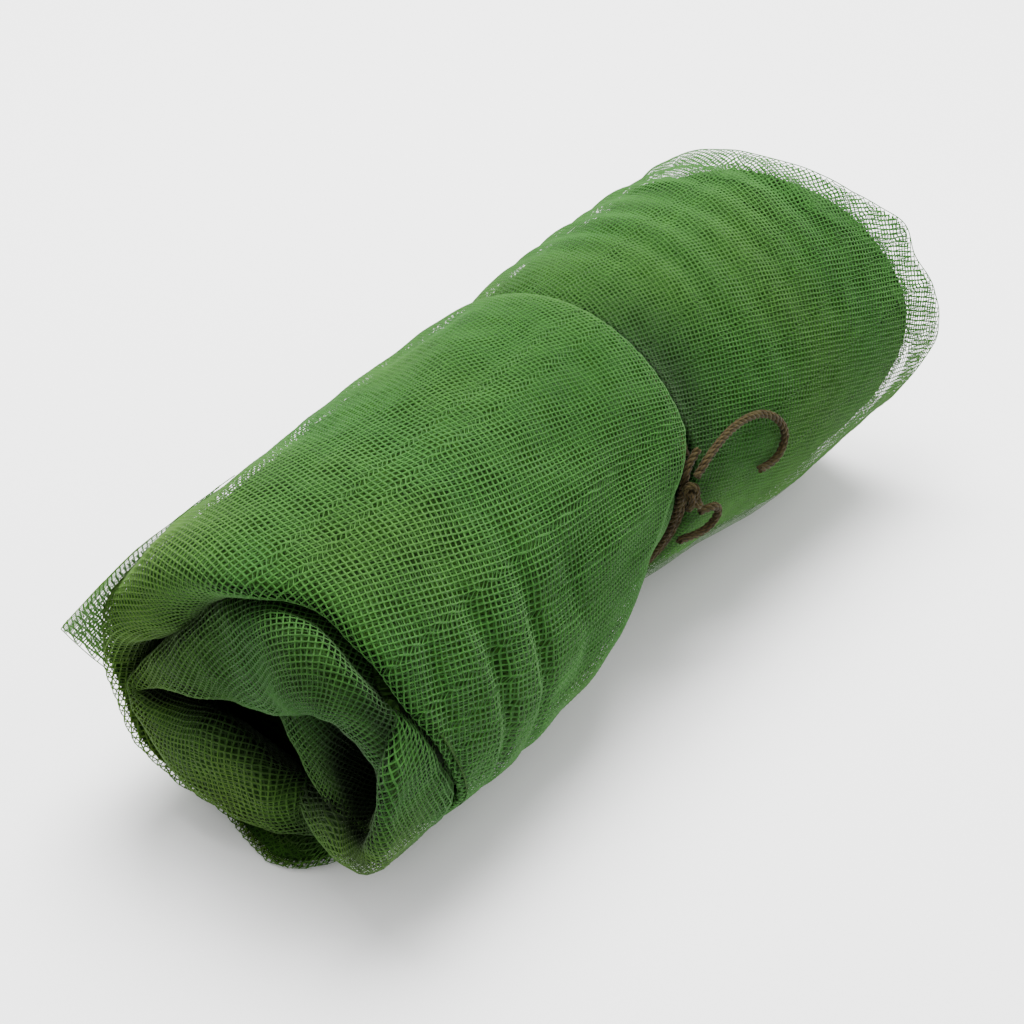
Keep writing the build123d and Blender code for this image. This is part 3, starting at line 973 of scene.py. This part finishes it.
def band_surface(keys):
    """Points, flat map, the middle line inside and the depth in shade of a band wound along keys."""
    where = np.linspace(0, len(keys) - 1, 40 * len(keys))
    path = through(keys, where) * MM
    run = np.concatenate([[0], np.cumsum(np.linalg.norm(np.diff(path[:, :2], axis=0), axis=1))])
    even = np.linspace(0, run[-1], int(run[-1] / BAND_STEP))
    path = np.stack([np.interp(even, run, path[:, k]) for k in range(7)], axis=1)
    centre, half, front, depth, round_in = path[:, :2], path[:, 2], path[:, 3], path[:, 4], path[:, 5]
    path[:, 6] /= MM
    tangent = np.gradient(centre, axis=0)
    tangent /= np.linalg.norm(tangent, axis=1, keepdims=True)
    side = np.stack([-tangent[:, 1], tangent[:, 0]], axis=1)
    if np.sum(side[-1] * (centre[-1] - [0, AXIS_Z])) < 0:
        side = -side
    round_out = np.clip(half * 0.95, 4 * MM, 21 * MM)
    q = np.linspace(0, 1, BAND_ROWS)
    outer, inner = q < OUTER_SHARE, q > INNER_SHARE
    phi = np.radians(np.interp(q, [OUTER_SHARE, INNER_SHARE], [90, -90]))
    n_share = np.sign(np.sin(phi)) * np.abs(np.sin(phi)) ** 0.85
    x_share = 1 - np.abs(np.cos(phi)) ** 0.85
    straight = np.where(outer, (OUTER_SHARE - q) / OUTER_SHARE, 0)
    straight = straight + np.where(inner, (q - INNER_SHARE) / (1 - INNER_SHARE), 0)
    fall = np.interp(path[:, 6], [0, 1], [0.25, 0.95])[:, None]
    n_share = np.where(outer, 1 - 0.10 * straight, np.where(inner, -1 + fall * straight, n_share))
    x_share = np.where(outer | inner, 1, x_share)
    reach = np.where(outer, 1.0, 0.7)
    rounding = np.where(q < 0.525, round_out[:, None], round_in[:, None])
    x = front[:, None] + x_share * rounding
    x = x + straight * reach * (depth[:, None] - rounding).clip(5 * MM, None)
    offset = n_share * half[:, None]
    across_end = centre[:, None, :] + side[:, None, :] * offset[..., None]
    points = np.concatenate([x[..., None], across_end], axis=-1)
    middle = np.stack([front + round_out * 1.3, centre[:, 0], centre[:, 1]], axis=-1)[:, None, :]
    middle = np.broadcast_to(middle, points.shape).copy()
    middle[..., 0] = np.maximum(middle[..., 0], points[..., 0])
    wide_path = centre + side * half[:, None] * 0.9
    length = np.concatenate([[0], np.cumsum(np.linalg.norm(np.diff(wide_path, axis=0), axis=1))])
    across = arc_lengths(points, 1)
    across -= np.take_along_axis(across, np.full((len(even), 1), int(0.52 * BAND_ROWS)), axis=1)
    flat = np.stack([np.broadcast_to(length[:, None], across.shape), across], axis=-1)
    # Painted shade: the band is darkened a little everywhere, and more on its inner side, near its start,
    # behind the lobe and in two creases.
    station = np.interp(even, run, where)[:, None]
    lobe = ramp(station, 11, 13) * (1 - ramp(station, 18, 20))
    low = ramp(station, 19.5, 21) * (1 - ramp(station, 25, 26.5))
    inside = ramp((q[None, :] - 0.50 - 0.13 * lobe - 0.07 * low) / 0.22, 0, 1)
    early = (1 - ramp(station, 0.2, 2.6)) * 0.7
    behind = 0.75 * ramp(0.50 - q[None, :], 0, 0.12) * ramp(station, 5, 7.5) * (1 - ramp(station, 11, 13))
    early = np.maximum(early, behind)
    crease = 0.6 * np.exp(-((station - 26) / 0.6) ** 2) + 0.5 * np.exp(-((station - 29.6) / 0.7) ** 2)
    shade = 0.26 - 0.14 * ramp(station, 19, 21)
    return points, flat, middle, shade + (1 - shade) * np.maximum(np.maximum(inside, early), crease)


print("surface of a folded band ready")

# %% [markdown]
# The band can't come through the lip that folds over it, so its points are held a little inside the
# lip's radius, softly, and more freely in front of it. Like all the cloth it has creases, from noise.

# %% Fit and creases of a band
def under_the_lip(points):
    """Points kept inside the folded lip of the front half, and how far under it each of them is."""
    away = points[..., 1:] - [0, AXIS_Z]
    radius = np.linalg.norm(away, axis=-1)
    angle = np.degrees(np.arctan2(-away[..., 0], away[..., 1]))
    lip = round_keys(LIP, angle.ravel()).reshape(*radius.shape, 3) * MM
    lip_r, fore_x = lip[..., 0], lip[..., 2]
    back = points[..., 0] - fore_x
    most = lip_r - 3.0 * MM + 1.3 * np.clip(-back, 0, None)
    soft = 2.0 * MM
    kept = most - soft * np.log1p(np.exp(np.clip((most - radius) / soft, -30, 30)))
    kept = radius - np.maximum(radius - kept, 0) * (radius > most - 3 * soft)
    points = points.copy()
    points[..., 1:] = [0, AXIS_Z] + away * (kept / radius)[..., None]
    near_lip = ramp(radius - most, -14 * MM, -2 * MM)
    return points, near_lip * ramp(back, -4 * MM, 9 * MM)


def band_folds(points, seed):
    """Soft creases of a folded band, in metres."""
    broad = 3.0 * ripple(points * [0.7, 1.0, 1.0], 0.028, seed)
    fine = 1.1 * ripple(points, 0.011, seed + 1)
    return (broad + fine) * MM


print("fit and creases of a band ready")

# %% [markdown]
# One function weaves a band for either end. At the near end it fits under the lip; at the far end it
# is mirrored. The outer threads, the second layer and the dark body all lie on the same surface.

# %% Near band
def band_pieces(name, keys, seed, bearing, mirrored=False):
    """The woven pieces of a folded band at the near end or, mirrored, at the far end."""
    points, flat, middle, deep = band_surface(keys)
    if not mirrored:
        # Painted shade: the band is darkened where it runs under the lip.
        points, under_lip_shade = under_the_lip(points)
        deep = np.maximum(deep, 0.65 * under_lip_shade)
    else:
        points, middle = points * [-1, 1, 1], middle * [-1, 1, 1]
    normal = outward(points, middle)
    points = above_floor(points + normal * band_folds(points, seed + 16)[..., None], 0.0012)
    band = points, flat, outward(points, middle), deep
    return layers(name, band, band, seed, bearing=bearing)


near_pieces = band_pieces("near_band", NEAR_BAND, 5, 24.0)
print("near band:", sum(len(o.data.polygons) for o in near_pieces), "faces")

# %% [markdown]
# ## The folded band inside the far end
#
# The far end isn't open like the near one: the outer turns close round it and leave a smaller mouth.
# The same folded band shows in the mouth, wound tighter and standing back from the rim.

# %% Far band
FAR_SHARE = 0.62
FAR_FRONT = -196
FAR_DEPTH = 40
FAR_BAND = NEAR_BAND[3:35].copy()
FAR_BAND[:, :2] = (FAR_BAND[:, :2] - [0, AXIS_Z / MM]) * FAR_SHARE * [-1, 1] + [0, AXIS_Z / MM]
FAR_BAND[:, [2, 5]] *= FAR_SHARE
FAR_BAND[:, 3] = FAR_FRONT + 0.45 * (FAR_BAND[:, 3] - FAR_FRONT)
FAR_BAND[:, 4] = np.minimum(FAR_BAND[:, 4], FAR_DEPTH)
far_pieces = band_pieces("far_band", FAR_BAND, 8, 15.0, mirrored=True)
print("far band:", sum(len(o.data.polygons) for o in far_pieces), "faces")

# %% [markdown]
# Behind each band a dark disc with a spiral relief stands for the turns deep inside the roll, so that
# nobody looks through it from end to end. It is strongly darkened, as painted shade.

# %% Inner turns
DISC_RADIUS = 80
TURN_SPACING = 9


def inner_turns(name, x, bulge):
    """A dark disc across the roll with a spiral relief, for the turns deep inside it."""
    radii = np.linspace(2, DISC_RADIUS, 60)
    angles = np.linspace(0, 360, 121)
    turn, radius = np.meshgrid(angles, radii)
    relief = 2.0 * np.sin(2 * math.pi * (radius / TURN_SPACING - turn / 360))
    relief = relief + bulge * (1 - (radius / DISC_RADIUS) ** 2)
    points = round_the_roll((x + relief) * MM, turn, radius * MM)
    flat = np.stack([radius * MM, np.radians(turn) * 40 * MM], axis=-1)
    # Painted shade: the disc is darkened almost to its deepest.
    disc = sheet_object(name, above_floor(points, 0.003), flat, np.full(turn.shape, 0.9))
    disc.data.materials.append(BODY)
    if (disc.data.polygons[0].normal.x > 0) != (x > 0):
        disc.data.flip_normals()
    return disc


near_pieces.append(inner_turns("near_inner_turns", -152, -6))
far_pieces.append(inner_turns("far_inner_turns", 168, 6))
print("inner turns:", [o.name for o in (near_pieces[-1], far_pieces[-1])])

# %% [markdown]
# ## The loose corner at the near end
#
# A corner of the net was left out of the roll at the back of the near end, and hangs free. It is a
# curved triangle from a line on the roll to its tip. It is three layers thick where it leaves the
# roll and fewer at its tip, so the light comes through it, and a thin hem runs round its free edge.

# %% Corner flap
def corner_surface(reach, base_shift=0.0):
    """A curved triangle from a line on the roll to its tip: reach is how much of it there is."""
    base = np.array([
        (-128, -46, 87.6), (-150, -58, 87.6), (-168, -72, 87.6), (-182, -87, 87.8), (-194, -104, 88.0),
    ], float)
    tip = np.array([-229, -66.5, 85.0])
    across = through(base, np.linspace(0, len(base) - 1, 60))
    share = np.linspace(0, reach, 50)[:, None, None]
    keys = across[None] * (1 - share) + tip * share
    keys[..., 0] += base_shift * (1 - share[..., 0])
    keys[..., 2] += 2.6 * np.sin(math.pi * share[..., 0]) + 0.9
    points = round_the_roll(keys[..., 0] * MM, keys[..., 1], keys[..., 2] * MM)
    away = outward(points, axis_line(points, 0.02))
    points = points + away * (1.6 * ripple(points, 0.022, 31)[..., None] * MM)
    flat = np.stack([keys[..., 0] * MM, np.radians(keys[..., 1]) * FRONT_R], axis=-1) * 1.12
    return facing(points, flat, outward(points, axis_line(points, 0.02)))[:3]


points, flat, normal = corner_surface(0.97)
free_edge = np.concatenate([points[:, 0], points[-1:, points.shape[1] // 2], points[::-1, -1]])
corner_hem = hem("corner_hem", free_edge)
corner_pieces = [weave("corner", points, flat, CORNER_NET_PAINTED_LIGHT, 24.0, seed=6, thread=0.85 * MM), corner_hem]
for name, reach, base_shift, below, bearing, seed in (
    ("corner_second", 0.95, 3.0, 1.5, 33.0, 7), ("corner_third", 0.82, 5.0, 3.0, 12.0, 8),
):
    points, flat, normal = corner_surface(reach, base_shift)
    corner_pieces.append(weave(name, points - normal * below * MM, flat, CORNER_NET_PAINTED_LIGHT, bearing, seed=seed,
                               rounded=False, thread=0.95 * MM))
print("corner flap:", sum(len(o.data.polygons) for o in corner_pieces), "faces")

# %% [markdown]
# ## The cord that ties the roll
#
# The tie is one thin cord of three twisted strands. It goes twice round the waist, is knotted on the
# side of the roll, and leaves a long curled tail, a small bow loop and a short end. Each free end is
# a list of points, and the two turns are worked out by a loop: the cord starts on the
# near turn and crosses to the far one behind the knot.

# %% Routes of the cord
def on_roll(x, angle, radius):
    """A point in metres from a place along the roll, an angle from its top and a radius, in mm."""
    return Vector(round_the_roll(x * MM, angle, radius * MM))


long_tail = [
    (29.0, 70.0, 87.5), (35.0, 67.0, 89.5), (45.0, 65.2, 89.5), (59.0, 64.2, 89.2), (72.0, 65.0, 89.0),
    (84.0, 68.0, 89.0), (93.0, 74.0, 89.0), (96.5, 80.5, 89.0), (93.0, 86.5, 89.0), (84.5, 88.5, 89.0),
    (77.0, 87.0, 89.0),
]
bow_loop = [
    (30.5, 84.6, 87.0), (35.5, 84.0, 90.0), (42.0, 86.5, 90.5), (43.5, 92.0, 90.5), (38.0, 96.0, 89.5),
    (29.5, 96.0, 87.0), (21.5, 95.0, 84.5),
]
short_end = [(40.0, 64.5, 82.5), (33.5, 66.5, 81.5), (27.0, 69.5, 82.5)]

TURN_GAP = 4.3 * MM
lean_up = Vector((math.sin(TIE_LEAN), 0, math.cos(TIE_LEAN)))
lean_on = Vector((math.cos(TIE_LEAN), 0, -math.sin(TIE_LEAN)))


def on_turn(angle, side):
    """A point on a turn of the tie, at an angle from the top towards -Y."""
    turn = math.radians(angle)
    centre = Vector((TIE_X, 0, AXIS_Z)) + lean_on * side * TURN_GAP / 2
    radius = WRAP_R - float(pinch(TIE_X, angle))
    return centre + radius * (lean_up * math.cos(turn) + Vector((0, -1, 0)) * math.sin(turn))


FIRST_ANGLE, ANGLE_STEP = 84, 14.6
CROSSING = (405, 450)
two_turns = [on_roll(*place) for place in short_end]
for step in range(49):
    angle = FIRST_ANGLE + step * ANGLE_STEP
    two_turns.append(on_turn(angle, -1 + 2 * float(ramp(angle, *CROSSING))))
print("points on the two turns:", len(two_turns))

# %% [markdown]
# A route becomes one smooth NURBS curve of order 3 with its ends on the end points. The evaluated
# curve, without any bevel, gives the line that the strands follow and the length of the run.

# %% Spline of a route
def route_spline(name, places):
    """A NURBS curve with the places as its control points, and the points that it runs through."""
    data = bpy.data.curves.new(name, "CURVE")
    data.dimensions = "3D"
    spline = data.splines.new("NURBS")
    spline.points.add(len(places) - 1)
    for point, place in zip(spline.points, places):
        point.co = (*place, 1)
    spline.order_u = 3
    spline.use_endpoint_u = True
    spline.resolution_u = 10
    curve = bpy.data.objects.new(name, data)
    bpy.context.scene.collection.objects.link(curve)
    evaluated = curve.evaluated_get(bpy.context.evaluated_depsgraph_get())
    line = bpy.data.meshes.new_from_object(evaluated)
    points = [v.co.copy() for v in line.vertices]
    bpy.data.objects.remove(curve)
    length = sum((b - a).length for a, b in zip(points, points[1:]))
    print(name, "length", round(length, 4))
    return line, points, length


# %% [markdown]
# A second Geometry Nodes tree lays the cord. It copies the line once for each strand, moves each copy
# round it in a helix, varies the thickness a little with noise, and sweeps a circle along it. A plain
# tube with a twisted bump would be lighter, but the outline of a laid cord is what gives it away.

# %% Twisting tree
def twisting_tree():
    """Strands twisted round a line, as in a laid cord."""
    tree = bpy.data.node_groups.new("twist strands along a line", "GeometryNodeTree")
    face = tree.interface
    face.new_socket("Line", in_out="INPUT", socket_type="NodeSocketGeometry")
    for name, kind in (
        ("Strands", "NodeSocketInt"), ("Strand Radius", "NodeSocketFloat"), ("Lay Radius", "NodeSocketFloat"),
        ("Lay Length", "NodeSocketFloat"), ("Step", "NodeSocketFloat"), ("Unevenness", "NodeSocketFloat"),
        ("Material", "NodeSocketMaterial"),
    ):
        face.new_socket(name, in_out="INPUT", socket_type=kind)
    face.new_socket("Cord", in_out="OUTPUT", socket_type="NodeSocketGeometry")
    add = node_maker(tree)
    given = add("NodeGroupInput").outputs

    def maths(operation, a, b=0.0):
        return add("ShaderNodeMath", {0: a, 1: b}, operation=operation).outputs[0]

    def scaled(value, size):
        return add("ShaderNodeVectorMath", {0: value, "Scale": size}, operation="SCALE").outputs[0]

    def stored(geometry, name, value, kind="FLOAT_VECTOR"):
        return add("GeometryNodeStoreNamedAttribute", {
            "Geometry": geometry, "Name": name, "Value": value}, data_type=kind, domain="POINT").outputs[0]

    def named(name, kind="FLOAT_VECTOR"):
        return add("GeometryNodeInputNamedAttribute", {"Name": name}, data_type=kind).outputs[0]

    line = add("GeometryNodeMeshToCurve", {"Mesh": given["Line"]}).outputs[0]
    line = add("GeometryNodeResampleCurve", {
        "Curve": line, "Length": given["Step"]}, mode="LENGTH").outputs[0]
    normal = add("GeometryNodeInputNormal").outputs[0]
    tangent = add("GeometryNodeInputTangent").outputs[0]
    across = add("ShaderNodeVectorMath", {0: tangent, 1: normal}, operation="CROSS_PRODUCT").outputs[0]
    run = add("GeometryNodeSplineParameter").outputs["Length"]
    line = stored(line, "way out", normal)
    line = stored(line, "way across", across)
    line = stored(line, "run", run, "FLOAT")
    copies = add("GeometryNodeDuplicateElements", {
        "Geometry": line, "Amount": given["Strands"]}, domain="SPLINE")
    share = maths("DIVIDE", copies.outputs["Duplicate Index"], given["Strands"])
    turns = maths("ADD", maths("DIVIDE", named("run", "FLOAT"), given["Lay Length"]), share)
    angle = maths("MULTIPLY", turns, 2 * math.pi)
    out = scaled(named("way out"), maths("COSINE", angle))
    side = scaled(named("way across"), maths("SINE", angle))
    both = add("ShaderNodeVectorMath", {0: out, 1: side}, operation="ADD").outputs[0]
    laid = add("GeometryNodeSetPosition", {
        "Geometry": copies.outputs["Geometry"], "Offset": scaled(both, given["Lay Radius"])}).outputs[0]
    seed = add("ShaderNodeCombineXYZ", {
        0: maths("MULTIPLY", named("run", "FLOAT"), 400.0), 1: maths("MULTIPLY", share, 37.0)}).outputs[0]
    lumps = add("ShaderNodeTexNoise", {"Vector": seed, "Scale": 1.0, "Detail": 2.0}).outputs["Fac"]
    swell = maths("ADD", 1.0, maths("MULTIPLY", maths("SUBTRACT", lumps, 0.5), given["Unevenness"]))
    laid = add("GeometryNodeSetCurveRadius", {"Curve": laid, "Radius": swell}).outputs[0]
    rim = add("GeometryNodeCurvePrimitiveCircle", {
        "Resolution": 9, "Radius": given["Strand Radius"]}).outputs[0]
    rim_run = add("GeometryNodeSplineParameter").outputs["Factor"]
    rim = stored(rim, "rim", rim_run, "FLOAT")
    tube = add("GeometryNodeCurveToMesh", {
        "Curve": laid, "Profile Curve": rim, "Scale": swell, "Fill Caps": True}).outputs[0]
    fibre_run = maths("ADD", maths("MULTIPLY", named("run", "FLOAT"), 260.0), maths("MULTIPLY", share, 9.0))
    fibre = add("ShaderNodeCombineXYZ", {
        0: maths("MULTIPLY", named("rim", "FLOAT"), 2.4), 1: fibre_run}).outputs[0]
    tube = stored(tube, "fibre map", fibre)
    for spare in ("way out", "way across", "run", "rim"):
        tube = add("GeometryNodeRemoveAttribute", {"Geometry": tube, "Name": spare}).outputs[0]
    tube = add("GeometryNodeSetShadeSmooth", {"Geometry": tube}).outputs[0]
    tube = add("GeometryNodeRealizeInstances", {"Geometry": tube}).outputs[0]
    done = add("GeometryNodeSetMaterial", {"Geometry": tube, "Material": given["Material"]}).outputs[0]
    add("NodeGroupOutput", {"Cord": done})
    return tree


TWIST = twisting_tree()
print("twisting tree has", len(TWIST.nodes), "nodes")

# %% [markdown]
# The three strands together fill the cord's diameter, and they go once round it in 9.5 mm. The turns,
# the tail and the bow loop are three runs of the same cord, and each stands for its own CAD nodes.

# %% The three runs of the cord
STRAND_RADIUS = 1.08 * MM
LAY_RADIUS = 1.0 * MM
LAY_LENGTH = 9.5 * MM
STRAND_STEP = 0.55 * MM


def twisted(name, line, thick=1.0):
    """A laid cord of three strands along a line of points."""
    source = bpy.data.objects.new(name + " line", line)
    bpy.context.scene.collection.objects.link(source)
    return run_tree(TWIST, source, name, {
        "Strands": 3, "Strand Radius": STRAND_RADIUS * thick, "Lay Radius": LAY_RADIUS * thick,
        "Lay Length": LAY_LENGTH, "Step": STRAND_STEP, "Unevenness": 0.35, "Material": CORD})


cord_runs = {}
for name, places, nodes in (
    ("tie_cord_turns", two_turns, ("tie_cord_front_turn", "tie_cord_rear_turn", "tie_cord_short_end")),
    ("tie_cord_tail", [on_roll(*p) for p in long_tail], ("tie_cord_long_tail",)),
    ("tie_cord_bow", [on_roll(*p) for p in bow_loop], ("tie_cord_bow_loop",)),
):
    line, points, length = route_spline(name, places)
    piece = twisted(name, line)
    cord_runs[name] = (piece, points, length, nodes)
    print(name, "triangles", sum(len(p.vertices) - 2 for p in piece.data.polygons))

# %% [markdown]
# The knot is an overhand knot pulled tight, then flattened against the roll. Its line is the closed
# three-lobed curve that an overhand knot makes, squeezed to the size of the knot.

# %% The knot
knot_low, knot_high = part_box("tie_cord_knot")
KNOT_SHIFT = Vector((-1.5, 4.0, -1.5)) * MM
knot_centre = (knot_low + knot_high) / 2 + KNOT_SHIFT
KNOT_STEPS = 60
knot_turn = math.radians(77)
knot_out = Vector((0, -math.sin(knot_turn), math.cos(knot_turn)))
knot_down = Vector((0, -math.cos(knot_turn), -math.sin(knot_turn)))
knot_along = Vector((1, 0, 0))
knot_points = []
for step in range(KNOT_STEPS + 1):
    t = step / KNOT_STEPS * 2 * math.pi
    a = (math.sin(t) + 2 * math.sin(2 * t)) * 1.35
    b = (math.cos(t) - 2 * math.cos(2 * t)) * 2.3
    c = -math.sin(3 * t) * 2.0
    knot_points.append(knot_centre + (knot_along * a + knot_down * b + knot_out * c) * MM)
knot_line = bpy.data.meshes.new("knot line")
knot_line.from_pydata(knot_points, [(i, i + 1) for i in range(KNOT_STEPS)], [])
knot = twisted("tie_cord_knot_wound", knot_line, thick=0.86)
print("knot triangles", sum(len(p.vertices) - 2 for p in knot.data.polygons))

# %% [markdown]
# ## What the pieces are
#
# Every piece rides on the one body. The main pieces also stand for the CAD's soft solids, which are
# then not shown.

# %% Bodies and stand-ins
net_pieces = front_pieces + rear_pieces + near_pieces + far_pieces + corner_pieces
for piece in net_pieces:
    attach(piece, "root")
for piece in [knot] + [run[0] for run in cord_runs.values()]:
    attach(piece, "root")
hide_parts("net_roll_front_half")
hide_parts("net_roll_rear_half", "net_far_edge_layer")
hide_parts("net_near_corner_layer")
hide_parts("tie_cord_knot")
for name, (piece, points, length, nodes) in cord_runs.items():
    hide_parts(*nodes)
print("pieces of net:", len(net_pieces), "runs of cord:", len(cord_runs))

# %% [markdown]
# The net is one sheet, woven here in seven pieces. The area given here is that of the threads, not that
# of the cut. The corner is a triangle that fills only part of its rectangle, and its share was set to
# suit its measured surface.

# %% [markdown]
# Each run of cord is listed with its far end, its lay and what it is wound round. The turns are pulled
# tight and end in the bare short end, so their route is turned round, to run from the end that is held.

# %% Runs of cord
for name, far_end, lay, wound in (
    ("tie_cord_turns", "bare", "taut", [knot]),
    ("tie_cord_tail", "bare", "loose", []),
    ("tie_cord_bow", "object", "loose", []),
):
    piece, points, length, nodes = cord_runs[name]
    if name == "tie_cord_turns":
        points = points[::-1]
print("cords declared:", list(cord_runs))

# %% [markdown]
# ## Floor and light
#
# A pale floor and very soft light from all round, with one large lamp above and a weak one beside
# the roll, show the mesh without hard shadows.

# %% Floor and light
def floor_material():
    """Plain pale paper."""
    material = bpy.data.materials.new("pale_floor")
    material.use_nodes = True
    shader = material.node_tree.nodes["Principled BSDF"]
    shader.inputs["Base Color"].default_value = (0.93, 0.93, 0.93, 1)
    shader.inputs["Roughness"].default_value = 0.9
    shader.inputs["Specular IOR Level"].default_value = 0.1
    return material


floor_mesh = bpy.data.meshes.new("floor")
floor_mesh.from_pydata([(-6, -6, 0), (6, -6, 0), (6, 6, 0), (-6, 6, 0)], [], [(0, 1, 2, 3)])
floor_mesh.materials.append(floor_material())
floor = bpy.data.objects.new("floor", floor_mesh)
bpy.context.scene.collection.objects.link(floor)

world = bpy.data.worlds.new("soft surroundings")
bpy.context.scene.world = world
world.use_nodes = True
world.node_tree.nodes["Background"].inputs["Color"].default_value = (1.0, 1.0, 1.0, 1)
world.node_tree.nodes["Background"].inputs["Strength"].default_value = 1.15


def soft_lamp(name, place, power, size):
    """A square lamp that looks at the roll."""
    data = bpy.data.lights.new(name, "AREA")
    data.energy = power
    data.size = size
    lamp = bpy.data.objects.new(name, data)
    lamp.location = place
    lamp.rotation_euler = (Vector((0, 0, AXIS_Z)) - lamp.location).to_track_quat("-Z", "Y").to_euler()
    bpy.context.scene.collection.objects.link(lamp)
    return lamp


soft_lamp("lamp above", (0.35, 0.35, 1.7), 120, 1.2)
soft_lamp("lamp beside", (1.0, -1.2, 1.1), 10, 1.2)
print("floor, surroundings and two lamps")
